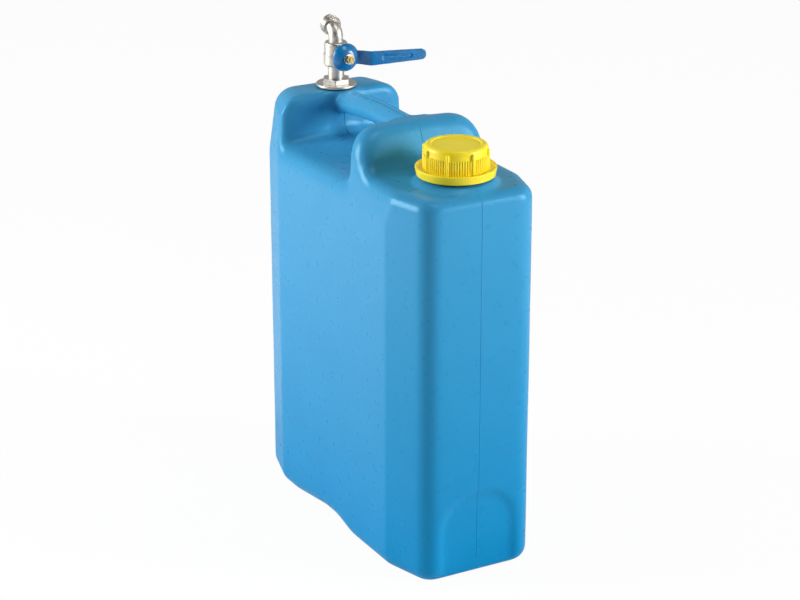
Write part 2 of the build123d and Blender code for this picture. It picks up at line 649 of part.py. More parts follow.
with BuildPart() as valve_stem:
    with BuildSketch(stem_station(STEM_TANG_X)):
        Rectangle(STEM_TANG_WIDTH, STEM_TANG_LENGTH)
    extrude(amount=STEM_COLLAR_X - STEM_TANG_X)
    with BuildSketch(stem_station(STEM_COLLAR_X)):
        Circle(STEM_COLLAR_R)
    extrude(amount=STEM_COLLAR_END_X - STEM_COLLAR_X)
    with BuildSketch(stem_station(STEM_COLLAR_END_X)):
        Circle(STEM_R)
    extrude(amount=STEM_FLAT_X - STEM_COLLAR_END_X)
    with BuildSketch(stem_station(STEM_FLAT_X)):
        add(flatted)
    extrude(amount=STEM_THREAD_X - STEM_FLAT_X)
    with BuildSketch(stem_station(STEM_THREAD_X)):
        Circle(STEM_THREAD_R)
    extrude(amount=STEM_END_X - STEM_THREAD_X)
    chamfer(valve_stem.edges().group_by(Axis.X)[-1], STEM_THREAD_R / 5)

with BuildPart() as thrust_washer:
    with BuildSketch(stem_station(STEM_COLLAR_END_X + STEM_RUN)):
        Circle(STEM_COLLAR_R)
        Circle(STEM_R + STEM_RUN, mode=Mode.SUBTRACT)
    extrude(amount=THRUST_WASHER_T)

with BuildPart() as stem_packing:
    with BuildSketch(stem_station(PACKING_X)):
        Circle(PACKING_R)
        Circle(STEM_R + STEM_RUN, mode=Mode.SUBTRACT)
    extrude(amount=PACKING_T)

with BuildPart() as gland_nut:
    with BuildSketch(stem_station(PACKING_X + PACKING_T)):
        Circle(PACKING_R - THREAD_GAP)
    extrude(amount=BOSS_END_X - PACKING_X - PACKING_T)
    with BuildSketch(stem_station(BOSS_END_X)):
        RegularPolygon(GLAND_HEX / 2, 6, major_radius=False)
    extrude(amount=GLAND_HEAD_T)
    with BuildSketch(stem_station(PACKING_X)):
        Circle(STEM_R + STEM_RUN)
    extrude(amount=GLAND_HEX, mode=Mode.SUBTRACT)

# Tap: the lever, a cast hub with a bent arm, held on the stem by a washer and a nut
arm_point = [Vector(*point) for point in (LEVER_ROOT, LEVER_NECK, LEVER_BEND, LEVER_TIP)]
arm_along = (arm_point[3] - arm_point[2]).normalized()
arm_out = Vector(arm_along.Y, -arm_along.X)
groove_start = arm_point[2] + arm_along * LEVER_GROOVE_START + arm_out * (LEVER_T / 2)
GROOVE_PLANE = Plane(
    origin=(TAP_X + groove_start.X, groove_start.Y, STEM_Z), x_dir=(arm_along.X, arm_along.Y, 0),
    z_dir=(arm_out.X, arm_out.Y, 0))

with BuildPart() as lever:
    with BuildSketch(STEM_PLANE):
        with BuildLine():
            FilletPolyline(*arm_point, radius=LEVER_BEND_R)
        trace(line_width=LEVER_T)
    extrude(amount=LEVER_BEND_HEIGHT, both=True)
    with BuildSketch(stem_station(0)) as side_view:
        Polygon(
            (0, -LEVER_ROOT_HEIGHT / 2), (LEVER_BEND[1], -LEVER_BEND_HEIGHT / 2),
            (LEVER_TIP[1], -LEVER_TIP_HEIGHT / 2), (LEVER_TIP[1], LEVER_TIP_HEIGHT / 2),
            (LEVER_BEND[1], LEVER_BEND_HEIGHT / 2), (0, LEVER_ROOT_HEIGHT / 2), align=None)
        fillet(side_view.vertices().group_by(Axis.X)[-1], LEVER_TIP_R)
    extrude(amount=LEVER_TIP[0] + LEVER_T, mode=Mode.INTERSECT)
    with BuildSketch(GROOVE_PLANE):
        with Locations((LEVER_GROOVE_LENGTH / 2, 0)):
            SlotOverall(LEVER_GROOVE_LENGTH, LEVER_GROOVE_WIDTH)
    extrude(amount=-LEVER_GROOVE_DEPTH, mode=Mode.SUBTRACT)
    with BuildSketch(STEM_PLANE):
        with BuildLine():
            dome = ThreePointArc((HUB_RIM_X, HUB_R), HUB_BULGE, (HUB_APEX_X, HUB_APEX_R))
            Polyline(
                dome @ 1, (HUB_APEX_X, 0), (HUB_WEB_X, 0), (HUB_WEB_X, HUB_HOLLOW_R),
                (HUB_RIM_X, HUB_HOLLOW_R), dome @ 0)
        make_face()
    revolve(axis=STEM_AXIS)
    with BuildSketch(stem_station(HUB_RIM_X)):
        Circle(HUB_HOLLOW_R)
    extrude(amount=HUB_WEB_X - HUB_RIM_X, mode=Mode.SUBTRACT)
    with BuildSketch(stem_station(HUB_WEB_X)):
        add(flatted_hole)
    extrude(amount=HUB_APEX_X - HUB_WEB_X + LEVER_T, mode=Mode.SUBTRACT)
    with BuildSketch(stem_station(HUB_RIM_X)):
        with BuildLine(mode=Mode.PRIVATE):
            track = CenterArc((0, 0), STOP_PIN_TRACK_R, STOP_PIN_ANGLE - LEVER_SWING, LEVER_SWING)
        SlotArc(track, 2 * (STOP_PIN_R + STOP_CLEARANCE))
    extrude(amount=STOP_PIN_REACH + STOP_CLEARANCE, mode=Mode.SUBTRACT)

with BuildPart() as lever_washer:
    with BuildSketch(stem_station(HUB_APEX_X)):
        Circle(LEVER_WASHER_R)
        Circle(STEM_THREAD_R + THREAD_GAP, mode=Mode.SUBTRACT)
    extrude(amount=LEVER_WASHER_T)

with BuildPart() as lever_nut:
    with BuildSketch(stem_station(HUB_APEX_X + LEVER_WASHER_T)):
        RegularPolygon(LEVER_NUT_HEX / 2, 6, major_radius=False)
        Circle(STEM_THREAD_R + THREAD_GAP, mode=Mode.SUBTRACT)
    extrude(amount=LEVER_NUT_T)

PIECES = {
    "container_body": container_body,
    "filler_cap": filler_cap,
    "cap_seal": cap_seal,
    "tap_flange": tap_flange,
    "tap_gasket": tap_gasket,
    "inner_gasket": inner_gasket,
    "lock_nut": lock_nut,
    "valve_tail": valve_tail,
    "tail_o_ring": tail_o_ring,
    "valve_body": valve_body,
    "stop_pin": stop_pin,
    "lower_seat": lower_seat,
    "upper_seat": upper_seat,
    "valve_ball": valve_ball,
    "valve_stem": valve_stem,
    "thrust_washer": thrust_washer,
    "stem_packing": stem_packing,
    "gland_nut": gland_nut,
    "lever": lever,
    "lever_washer": lever_washer,
    "lever_nut": lever_nut,
}
for name, piece in PIECES.items():
    piece.part.label = name
    export_step(piece.part, f"parts/{name}.step")
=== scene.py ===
import bmesh
import bpy
from math import cos, pi, radians, sin
from mathutils import Matrix, Vector, noise


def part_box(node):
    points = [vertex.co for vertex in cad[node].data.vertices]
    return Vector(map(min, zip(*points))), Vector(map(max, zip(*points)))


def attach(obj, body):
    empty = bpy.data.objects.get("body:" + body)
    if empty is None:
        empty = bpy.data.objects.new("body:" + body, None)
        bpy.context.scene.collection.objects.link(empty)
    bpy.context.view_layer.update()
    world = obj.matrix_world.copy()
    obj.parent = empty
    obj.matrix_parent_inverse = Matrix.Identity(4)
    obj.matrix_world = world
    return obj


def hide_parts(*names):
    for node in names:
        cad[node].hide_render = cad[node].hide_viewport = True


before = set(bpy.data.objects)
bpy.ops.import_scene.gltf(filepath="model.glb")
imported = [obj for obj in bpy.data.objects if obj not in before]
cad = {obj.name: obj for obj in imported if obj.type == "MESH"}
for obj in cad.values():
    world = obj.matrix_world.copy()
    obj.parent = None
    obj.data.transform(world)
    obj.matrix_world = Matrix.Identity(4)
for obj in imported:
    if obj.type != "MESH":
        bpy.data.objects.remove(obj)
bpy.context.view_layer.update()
scene = bpy.context.scene
scene.view_settings.view_transform = "Standard"


# Camera: the photograph's own view, from the filler end and a little above
photo_camera = bpy.data.objects.new("photo_camera", bpy.data.cameras.new("photo_camera"))
photo_camera.location = (2.0862, -1.1495, 1.1525)
photo_camera.rotation_euler = (radians(90 - 20.83), 0, radians(61.02))
photo_camera.data.lens = 107.4
photo_camera.data.sensor_width = 36
scene.collection.objects.link(photo_camera)
scene.camera = photo_camera


# Studio: a pale sweep of paper, soft boxes on both sides of the camera and a weak one overhead
def emission_world():
    """White low down, and dark above and behind the camera in what the object mirrors."""
    world = bpy.data.worlds.new("studio_world")
    world.use_nodes = True
    nodes = world.node_tree.nodes
    links = world.node_tree.links
    background = nodes["Background"]
    coordinate = nodes.new("ShaderNodeTexCoord")
    facing = nodes.new("ShaderNodeVectorMath")
    facing.operation = "DOT_PRODUCT"
    facing.inputs[1].default_value = (0.42, -0.23, 0.88)
    ramp = nodes.new("ShaderNodeValToRGB")
    ramp.color_ramp.elements[0].position = 0.2
    ramp.color_ramp.elements[0].color = (1.0, 1.0, 1.0, 1)
    ramp.color_ramp.elements[1].position = 0.75
    ramp.color_ramp.elements[1].color = (0.02, 0.025, 0.035, 1)
    links.new(coordinate.outputs["Generated"], facing.inputs[0])
    links.new(facing.outputs["Value"], ramp.inputs["Fac"])
    links.new(ramp.outputs["Color"], background.inputs["Color"])
    background.inputs["Strength"].default_value = 0.36
    return world


scene.world = emission_world()


def soft_box(name, place, aim, width, height, power):
    """An area light that looks from its place to its aim."""
    lamp = bpy.data.lights.new(name, "AREA")
    lamp.shape = "RECTANGLE"
    lamp.size = width
    lamp.size_y = height
    lamp.energy = power
    stand = bpy.data.objects.new(name, lamp)
    stand.location = place
    stand.rotation_euler = (Vector(aim) - Vector(place)).to_track_quat("-Z", "Y").to_euler()
    scene.collection.objects.link(stand)


soft_box("left_box", (-1.0, -1.8, 0.95), (0, 0, 0.3), 0.9, 1.2, 47)
soft_box("right_box", (1.6, 1.5, 0.9), (0, 0, 0.3), 0.7, 1.2, 44)
soft_box("top_box", (0.5, 0.1, 1.9), (0, 0, 0.35), 0.5, 0.9, 6)


def sweep_material():
    """White paper: seen by the camera it is nearly even, with only a breath of shadow."""
    paper = bpy.data.materials.new("paper_sweep")
    paper.use_nodes = True
    nodes = paper.node_tree.nodes
    links = paper.node_tree.links
    nodes.clear()
    output = nodes.new("ShaderNodeOutputMaterial")
    mix = nodes.new("ShaderNodeMixShader")
    paper_shader = nodes.new("ShaderNodeBsdfDiffuse")
    paper_shader.inputs["Color"].default_value = (0.93, 0.93, 0.93, 1)
    glow = nodes.new("ShaderNodeEmission")
    glow.inputs["Color"].default_value = (1, 1, 1, 1)
    glow.inputs["Strength"].default_value = 1.0
    path = nodes.new("ShaderNodeLightPath")
    share = nodes.new("ShaderNodeMath")
    share.operation = "MULTIPLY"
    share.inputs[1].default_value = 0.96
    links.new(path.outputs["Is Camera Ray"], share.inputs[0])
    links.new(share.outputs["Value"], mix.inputs["Fac"])
    links.new(paper_shader.outputs["BSDF"], mix.inputs[1])
    links.new(glow.outputs["Emission"], mix.inputs[2])
    links.new(mix.outputs["Shader"], output.inputs["Surface"])
    return paper


floor_mesh = bpy.data.meshes.new("floor")
floor_mesh.from_pydata([(-6, -6, 0), (6, -6, 0), (6, 6, 0), (-6, 6, 0)], [], [(0, 1, 2, 3)])
floor = bpy.data.objects.new("floor", floor_mesh)
floor_mesh.materials.append(sweep_material())
scene.collection.objects.link(floor)


# Materials: every one is procedural, with its own grain and unevenness
def shader_material(name, roughness, metallic=0.0):
    """A Principled material and its shader node."""
    material = bpy.data.materials.new(name)
    material.use_nodes = True
    shader = material.node_tree.nodes["Principled BSDF"]
    shader.inputs["Roughness"].default_value = roughness
    shader.inputs["Metallic"].default_value = metallic
    return material, shader


def noise_node(material, scale, detail=3.0, stretch=(1, 1, 1)):
    """Noise in the object's own coordinates, stretched as asked."""
    nodes = material.node_tree.nodes
    links = material.node_tree.links
    coordinate = nodes.new("ShaderNodeTexCoord")
    mapping = nodes.new("ShaderNodeMapping")
    mapping.inputs["Scale"].default_value = stretch
    texture = nodes.new("ShaderNodeTexNoise")
    texture.inputs["Scale"].default_value = scale
    texture.inputs["Detail"].default_value = detail
    links.new(coordinate.outputs["Object"], mapping.inputs["Vector"])
    links.new(mapping.outputs["Vector"], texture.inputs["Vector"])
    return texture


def vary_colour(material, shader, texture, low, high):
    """The base colour wanders between two near tones."""
    ramp = material.node_tree.nodes.new("ShaderNodeValToRGB")
    ramp.color_ramp.elements[0].position = 0.3
    ramp.color_ramp.elements[0].color = (*low, 1)
    ramp.color_ramp.elements[1].position = 0.7
    ramp.color_ramp.elements[1].color = (*high, 1)
    material.node_tree.links.new(texture.outputs["Fac"], ramp.inputs["Fac"])
    material.node_tree.links.new(ramp.outputs["Color"], shader.inputs["Base Color"])
    return ramp


def vary_roughness(material, shader, texture, low, high):
    """The gloss wanders between two values."""
    spread = material.node_tree.nodes.new("ShaderNodeMapRange")
    spread.inputs["From Min"].default_value = 0.3
    spread.inputs["From Max"].default_value = 0.7
    spread.inputs["To Min"].default_value = low
    spread.inputs["To Max"].default_value = high
    material.node_tree.links.new(texture.outputs["Fac"], spread.inputs["Value"])
    material.node_tree.links.new(spread.outputs["Result"], shader.inputs["Roughness"])


def add_bump(material, shader, height, strength, distance):
    """A bump on top of the bumps that the shader has already."""
    nodes = material.node_tree.nodes
    links = material.node_tree.links
    bump = nodes.new("ShaderNodeBump")
    bump.inputs["Strength"].default_value = strength
    bump.inputs["Distance"].default_value = distance
    links.new(height, bump.inputs["Height"])
    if shader.inputs["Normal"].is_linked:
        links.new(shader.inputs["Normal"].links[0].from_socket, bump.inputs["Normal"])
    links.new(bump.outputs["Normal"], shader.inputs["Normal"])


def tank_material():
    """Blue polyethylene from the blow mould: waxy, finely pitted, with painted sheen towards the
    top.
    """
    material, shader = shader_material("blue_polyethylene", 0.3)
    shader.inputs["Subsurface Weight"].default_value = 0.03
    shader.inputs["Subsurface Radius"].default_value = (0.001, 0.003, 0.006)
    shader.inputs["Specular IOR Level"].default_value = 0.34
    shader.inputs["Specular Tint"].default_value = (0.4, 0.78, 1.0, 1)
    nodes = material.node_tree.nodes
    links = material.node_tree.links
    tone = vary_colour(
        material, shader, noise_node(material, 14, 2.0), (0.0, 0.255, 0.54), (0.0, 0.270, 0.565))
    # Painted light: a paler blue mixed in with height, a painted sheen for the light on the upper
    # walls.
    coordinate = nodes.new("ShaderNodeTexCoord")
    height = nodes.new("ShaderNodeSeparateXYZ")
    sheen_rise = nodes.new("ShaderNodeMapRange")
    sheen_rise.inputs["From Min"].default_value = 0.03
    sheen_rise.inputs["From Max"].default_value = 0.44
    sheen_rise.inputs["To Max"].default_value = 0.6
    painted_top_sheen = nodes.new("ShaderNodeMix")
    painted_top_sheen.data_type = "RGBA"
    painted_top_sheen.inputs["B"].default_value = (0.08, 0.36, 0.61, 1)
    links.new(coordinate.outputs["Object"], height.inputs["Vector"])
    links.new(height.outputs["Z"], sheen_rise.inputs["Value"])
    links.new(sheen_rise.outputs["Result"], painted_top_sheen.inputs["Factor"])
    links.new(tone.outputs["Color"], painted_top_sheen.inputs["A"])
    links.new(painted_top_sheen.outputs["Result"], shader.inputs["Base Color"])
    vary_roughness(material, shader, noise_node(material, 90, 4.0), 0.26, 0.34)
    pits = noise_node(material, 2400, 2.0)
    add_bump(material, shader, pits.outputs["Fac"], 0.04, 0.0003)
    return material


blue_polyethylene = tank_material()


# Tank: one blown skin. Its outside is regrown from the CAD solid as an even mesh, which rounds
# the rims as the mould does, and gets the slow waves that shrinkage leaves in wide walls.
FILLER_X = 0.126
TAP_X = (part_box("tap_flange")[0].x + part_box("tap_flange")[1].x) / 2
NECK_R = 0.0282
NECK_RING_Z = 0.421
NECK_SLACK = 0.0003
FILLER_PLUG_LOW_Z = 0.400
TAP_PLUG_R = 0.0115
TAP_PLUG_LOW_Z = 0.440
TAP_PLUG_HIGH_Z = 0.4505
SKIN_VOXEL = 0.0025
RIM_START_X = -0.135
RIM_END_X = 0.062
RIM_LOW_Z = 0.378
HANDLE_HALF_WIDTH = 0.021
SOFTEN_ROUNDS = 6
RIM_ROUNDS = 34
WAVE_HEIGHT = 0.00022
CALM_BASE_Z = 0.05


def cad_copy(node, name):
    """A copy of a CAD node's mesh with its loose triangles joined, as a new object."""
    mesh = cad[node].data.copy()
    mesh.name = name
    mesh.materials.clear()
    form = bmesh.new()
    form.from_mesh(mesh)
    bmesh.ops.remove_doubles(form, verts=form.verts, dist=1e-6)
    bmesh.ops.recalc_face_normals(form, faces=form.faces)
    form.to_mesh(mesh)
    form.free()
    piece = bpy.data.objects.new(name, mesh)
    scene.collection.objects.link(piece)
    return piece


def baked(piece):
    """The piece with its modifiers worked into its mesh."""
    graph = bpy.context.evaluated_depsgraph_get()
    mesh = bpy.data.meshes.new_from_object(piece.evaluated_get(graph))
    old = piece.data
    piece.modifiers.clear()
    piece.data = mesh
    bpy.data.meshes.remove(old)
    return piece


def smooth_faces(mesh):
    """Every face of the mesh shaded smooth."""
    mesh.polygons.foreach_set("use_smooth", [True] * len(mesh.polygons))


def tank_skin():
    """The outside of the tank with its neck cut off and its openings plugged, as even quads."""
    skin = cad_copy("container_body", "tank_skin")
    form = bmesh.new()
    form.from_mesh(skin.data)
    neck = []
    for face in form.faces:
        centre = face.calc_center_median()
        off_axis = Vector((centre.x - FILLER_X, centre.y)).length
        if off_axis < NECK_R + NECK_SLACK and centre.z > NECK_RING_Z + 0.0002:
            neck.append(face)
    bmesh.ops.delete(form, geom=neck, context="FACES")
    for x, radius, low, high in (
            (FILLER_X, NECK_R + 0.0002, FILLER_PLUG_LOW_Z, NECK_RING_Z),
            (TAP_X, TAP_PLUG_R, TAP_PLUG_LOW_Z, TAP_PLUG_HIGH_Z)):
        place = Matrix.Translation((x, 0, (low + high) / 2))
        bmesh.ops.create_cone(
            form, cap_ends=True, segments=64, radius1=radius, radius2=radius, depth=high - low,
            matrix=place)
    form.to_mesh(skin.data)
    form.free()
    remesh = skin.modifiers.new("even", "REMESH")
    remesh.mode = "VOXEL"
    remesh.voxel_size = SKIN_VOXEL
    baked(skin)

    rims = skin.vertex_groups.new(name="rims")
    for vertex in skin.data.vertices:
        x, y, z = vertex.co
        if RIM_START_X < x < RIM_END_X and z > RIM_LOW_Z and abs(y) > HANDLE_HALF_WIDTH:
            rims.add([vertex.index], 1.0, "REPLACE")
    soften = skin.modifiers.new("soften", "SMOOTH")
    soften.factor = 0.5
    soften.iterations = SOFTEN_ROUNDS
    round_rims = skin.modifiers.new("round_rims", "SMOOTH")
    round_rims.factor = 0.5
    round_rims.iterations = RIM_ROUNDS
    round_rims.vertex_group = "rims"
    baked(skin)
    spots = [vertex.co.copy() for vertex in skin.data.vertices]
    normals = [vertex.normal.copy() for vertex in skin.data.vertices]
    for vertex, spot, normal in zip(skin.data.vertices, spots, normals):
        wave = noise.noise(spot * 11.0) + 0.4 * noise.noise(spot * 27.0)
        calm = min(1.0, max(0.0, spot.z / CALM_BASE_Z))
        vertex.co = spot + normal * (wave * WAVE_HEIGHT * calm)
    smooth_faces(skin.data)
    skin.data.materials.append(blue_polyethylene)
    return skin


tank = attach(tank_skin(), "container")
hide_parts("container_body")


# Parting line: the thin bead that the two halves of the mould leave in the tank's middle plane
BEAD_R = 0.0007
BEAD_SINK = 0.00035
BEAD_LOW_Z = 0.018
BEAD_SHORTEST_RUN = 8
HANDLE_START_X = -0.106
HANDLE_END_X = 0.03
HANDLE_LOW_Z = 0.445
HANDLE_BEAD_SCALE = 2.2
TOP_LOW_Z = 0.40
TOWER_LOW_Z = 0.445
TAP_GASKET_R = 0.0235
NECK_CLEARING_R = 0.044


def outline_chains():
    """The tank's outline in its middle plane, as chains of points, the same in every run."""
    form = bmesh.new()
    form.from_mesh(tank.data)
    cut = bmesh.ops.bisect_plane(
        form, geom=form.verts[:] + form.edges[:] + form.faces[:],
        plane_co=(0, 0.0001, 0), plane_no=(0, 1, 0))
    edges = dict.fromkeys(item for item in cut["geom_cut"] if isinstance(item, bmesh.types.BMEdge))
    chains = []
    while edges:
        edge, _ = edges.popitem()
        chain = [edge.verts[0], edge.verts[1]]
        while following := [item for item in chain[-1].link_edges if item in edges]:
            del edges[following[0]]
            chain.append(following[0].other_vert(chain[-1]))
        chains.append([(vertex.co.copy(), vertex.normal.copy()) for vertex in chain])
    form.free()
    return chains


def bead_shows(spot):
    """Whether the bead is there: not on the base, under the tap's gasket or round the neck."""
    by_tap = spot.z > TOWER_LOW_Z and abs(spot.x - TAP_X) < TAP_GASKET_R
    by_neck = spot.z > TOP_LOW_Z and abs(spot.x - FILLER_X) < NECK_CLEARING_R
    return spot.z > BEAD_LOW_Z and not by_tap and not by_neck


def evened(run):
    """The run with every inner point drawn towards its two neighbours."""
    inner = [(before + here * 2 + after) / 4 for before, here, after in zip(run, run[1:], run[2:])]
    return run[:1] + inner + run[-1:]


def parting_bead():
    """A rod half sunk in the skin wherever the bead shows, thicker along the handle."""
    line = bpy.data.curves.new("parting_bead", "CURVE")
    line.dimensions = "3D"
    line.bevel_depth = BEAD_R
    line.bevel_resolution = 3
    line.use_fill_caps = True
    for chain in outline_chains():
        runs = [[]]
        for spot, normal in chain:
            if bead_shows(spot):
                runs[-1].append(spot - normal * BEAD_SINK)
            elif runs[-1]:
                runs.append([])
        for run in runs:
            if len(run) < BEAD_SHORTEST_RUN:
                continue
            spline = line.splines.new("POLY")
            spline.points.add(len(run) - 1)
            for point, spot in zip(spline.points, evened(run)):
                on_handle = HANDLE_START_X < spot.x < HANDLE_END_X and spot.z > HANDLE_LOW_Z
                point.co = (spot.x, 0, spot.z, 1)
                point.radius = HANDLE_BEAD_SCALE if on_handle else 1.0
    rod = bpy.data.objects.new("parting_bead", line)
    scene.collection.objects.link(rod)
    mesh = bpy.data.meshes.new_from_object(rod.evaluated_get(bpy.context.evaluated_depsgraph_get()))
    bpy.data.objects.remove(rod)
    mesh.materials.clear()
    mesh.materials.append(blue_polyethylene)
    smooth_faces(mesh)
    bead = bpy.data.objects.new("parting_line", mesh)
    scene.collection.objects.link(bead)
    return bead


parting_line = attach(parting_bead(), "container")
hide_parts("container_body")


# Lathe work: turned and round moulded pieces are spun from their profile, its corners rounded
ARC_STEPS = 6
ON_AXIS = 1e-7
SHARP_ANGLE = radians(40)


def rounded(corners):
    """A profile from (radius, height, rounding) corners, its rounded corners as short arcs."""
    line = []
    for index, (r, z, rounding) in enumerate(corners):
        here = Vector((r, z))
        if not rounding:
            line.append(here)
            continue
        before = (Vector(corners[index - 1][:2]) - here).normalized()
        after = (Vector(corners[(index + 1) % len(corners)][:2]) - here).normalized()
        half = before.angle(after) / 2
        reach = rounding / abs(sin(half) / cos(half))
        centre = here + (before + after).normalized() * (rounding / sin(half))
        start = here + before * reach - centre
        end = here + after * reach - centre
        turn = start.angle_signed(end)
        for step in range(ARC_STEPS + 1):
            line.append(centre + Matrix.Rotation(-turn * step / ARC_STEPS, 2) @ start)
    return line


def spun(name, corners, place, steps=144):
    """A closed profile turned round an upright axis; a point on the axis stays one point."""
    form = bmesh.new()
    rings = []
    for point in rounded(corners):
        if point.x < ON_AXIS:
            rings.append([form.verts.new(Vector((0, 0, point.y)) + Vector(place))])
            continue
        ring = []
        for step in range(steps):
            angle = 2 * pi * step / steps
            spot = Vector((point.x * cos(angle), point.x * sin(angle), point.y))
            ring.append(form.verts.new(spot + Vector(place)))
        rings.append(ring)
    for low, high in zip(rings, rings[1:] + rings[:1]):
        if len(low) == 1 and len(high) == 1:
            continue
        for step in range(steps):
            after = (step + 1) % steps
            corners_here = [
                low[step % len(low)], low[after % len(low)],
                high[after % len(high)], high[step % len(high)]]
            form.faces.new(list(dict.fromkeys(corners_here)))
    bmesh.ops.recalc_face_normals(form, faces=form.faces)
    mesh = bpy.data.meshes.new(name)
    form.to_mesh(mesh)
    form.free()
    piece = bpy.data.objects.new(name, mesh)
    scene.collection.objects.link(piece)
    return shaded(piece)


def shaded(piece):
    """Smooth faces with crisp edges, their normals weighted by face size."""
    smooth_faces(piece.data)
    piece.data.set_sharp_from_angle(angle=SHARP_ANGLE)
    weighted = piece.modifiers.new("weighted", "WEIGHTED_NORMAL")
    weighted.keep_sharp = True
    return baked(piece)


def joined(name, pieces):
    """Several objects made one, the first one's materials kept in their order."""
    first = pieces[0]
    form = bmesh.new()
    materials = []
    for piece in pieces:
        shift = {}
        for index, material in enumerate(piece.data.materials):
            if material not in materials:
                materials.append(material)
            shift[index] = materials.index(material)
        count = len(form.faces)
        form.from_mesh(piece.data)
        form.faces.ensure_lookup_table()
        for face in form.faces[count:]:
            face.material_index = shift.get(face.material_index, 0)
    mesh = bpy.data.meshes.new(name)
    form.to_mesh(mesh)
    form.free()
    for material in materials:
        mesh.materials.append(material)
    for piece in pieces:
        bpy.data.objects.remove(piece)
    made = bpy.data.objects.new(name, mesh)
    scene.collection.objects.link(made)
    return shaded(made)


# Threads: one Geometry Nodes group winds a V-shaped ridge that fades out at both ends
def node_tree(name, sockets):
    """An empty Geometry Nodes tree with named inputs and one geometry output."""
    tree = bpy.data.node_groups.new(name, "GeometryNodeTree")
    for label, kind in sockets:
        tree.interface.new_socket(label, in_out="INPUT", socket_type=kind)
    tree.interface.new_socket("Geometry", in_out="OUTPUT", socket_type="NodeSocketGeometry")
    return tree, tree.nodes.new("NodeGroupInput"), tree.nodes.new("NodeGroupOutput")


def thread_tree():
    """A spiral swept with a four-sided section, turned to its axis and put in its place."""
    tree, given, result = node_tree("thread_ridge", (
        ("Turns", "NodeSocketFloat"), ("Radius", "NodeSocketFloat"), ("Pitch", "NodeSocketFloat"),
        ("Depth", "NodeSocketFloat"), ("Rotation", "NodeSocketVector"),
        ("Place", "NodeSocketVector"),
        ("Material", "NodeSocketMaterial")))
    add = tree.nodes.new
    link = tree.links.new
    length = add("ShaderNodeMath")
    length.operation = "MULTIPLY"
    spiral = add("GeometryNodeCurveSpiral")
    spiral.inputs["Resolution"].default_value = 72
    upright = add("GeometryNodeSetCurveNormal")
    upright.mode = "Z_UP"
    along = add("GeometryNodeSplineParameter")
    fade = add("ShaderNodeFloatCurve")
    for position, value in ((0.06, 1.0), (0.94, 1.0)):
        fade.mapping.curves[0].points.new(position, value)
    fade.mapping.curves[0].points[0].location = (0.0, 0.05)
    fade.mapping.curves[0].points[-1].location = (1.0, 0.05)
    fade.mapping.update()
    thickness = add("GeometryNodeSetCurveRadius")
    section = add("GeometryNodeCurvePrimitiveCircle")
    section.inputs["Resolution"].default_value = 4
    sweep = add("GeometryNodeCurveToMesh")
    sweep.inputs["Fill Caps"].default_value = True
    move = add("GeometryNodeTransform")
    real = add("GeometryNodeRealizeInstances")
    paint = add("GeometryNodeSetMaterial")
    link(given.outputs["Turns"], length.inputs[0])
    link(given.outputs["Pitch"], length.inputs[1])
    link(given.outputs["Turns"], spiral.inputs["Rotations"])
    link(given.outputs["Radius"], spiral.inputs["Start Radius"])
    link(given.outputs["Radius"], spiral.inputs["End Radius"])
    link(length.outputs[0], spiral.inputs["Height"])
    link(spiral.outputs["Curve"], upright.inputs["Curve"])
    link(along.outputs["Factor"], fade.inputs["Value"])
    link(upright.outputs["Curve"], thickness.inputs["Curve"])
    link(fade.outputs["Value"], thickness.inputs["Radius"])
    link(given.outputs["Depth"], section.inputs["Radius"])
    link(thickness.outputs["Curve"], sweep.inputs["Curve"])
    link(section.outputs["Curve"], sweep.inputs["Profile Curve"])
    link(sweep.outputs["Mesh"], move.inputs["Geometry"])
    link(given.outputs["Rotation"], move.inputs["Rotation"])
    link(given.outputs["Place"], move.inputs["Translation"])
    link(move.outputs["Geometry"], real.inputs["Geometry"])
    link(real.outputs["Geometry"], paint.inputs["Geometry"])
    link(given.outputs["Material"], paint.inputs["Material"])
    link(paint.outputs["Geometry"], result.inputs["Geometry"])
    return tree


def grown(name, tree, values):
    """A piece grown by a Geometry Nodes tree from the values given by input name."""
    piece = bpy.data.objects.new(name, bpy.data.meshes.new(name))
    scene.collection.objects.link(piece)
    grower = piece.modifiers.new("grower", "NODES")
    grower.node_group = tree
    for item in tree.interface.items_tree:
        if item.in_out == "INPUT":
            grower[item.identifier] = values[item.name]
    piece.update_tag()
    return baked(piece)


THREAD = thread_tree()


# Filler neck: a plain tube with a coarse thread, all of it under the cap
NECK_FOOT_Z = 0.4125
NECK_RIM_Z = 0.4497
NECK_BORE_R = 0.025
CAP_PITCH = 0.006
neck_tube = spun("neck_tube", (
    (NECK_BORE_R, NECK_FOOT_Z, 0), (NECK_R, NECK_FOOT_Z, 0), (NECK_R, NECK_RIM_Z, 0.0010),
    (NECK_BORE_R, NECK_RIM_Z, 0.0008)), (FILLER_X, 0, 0))
neck_tube.data.materials.append(blue_polyethylene)
neck_thread = grown("neck_thread", THREAD, {
    "Turns": 2.2, "Radius": NECK_R, "Pitch": CAP_PITCH, "Depth": 0.0017, "Rotation": (0, 0, 0),
    "Place": (FILLER_X, 0, 0.432), "Material": blue_polyethylene})
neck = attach(joined("neck", [neck_tube, neck_thread]), "container")
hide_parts("container_body")


# Filler cap: injection-moulded yellow plastic with eight grip ribs, fine knurling between
# them, a drip lip round its foot and a dished top
def cap_material():
    """Yellow plastic, a little translucent, with a fine grain."""
    material, shader = shader_material("yellow_plastic", 0.36)
    shader.inputs["Subsurface Weight"].default_value = 0.15
    shader.inputs["Subsurface Radius"].default_value = (0.004, 0.003, 0.0005)
    vary_colour(
        material, shader, noise_node(material, 60, 3.0), (0.98, 0.77, 0.012), (1.0, 0.82, 0.02))
    vary_roughness(material, shader, noise_node(material, 300, 3.0), 0.32, 0.42)
    add_bump(material, shader, noise_node(material, 1400, 2.0).outputs["Fac"], 0.08, 0.0003)
    return material


yellow_plastic = cap_material()


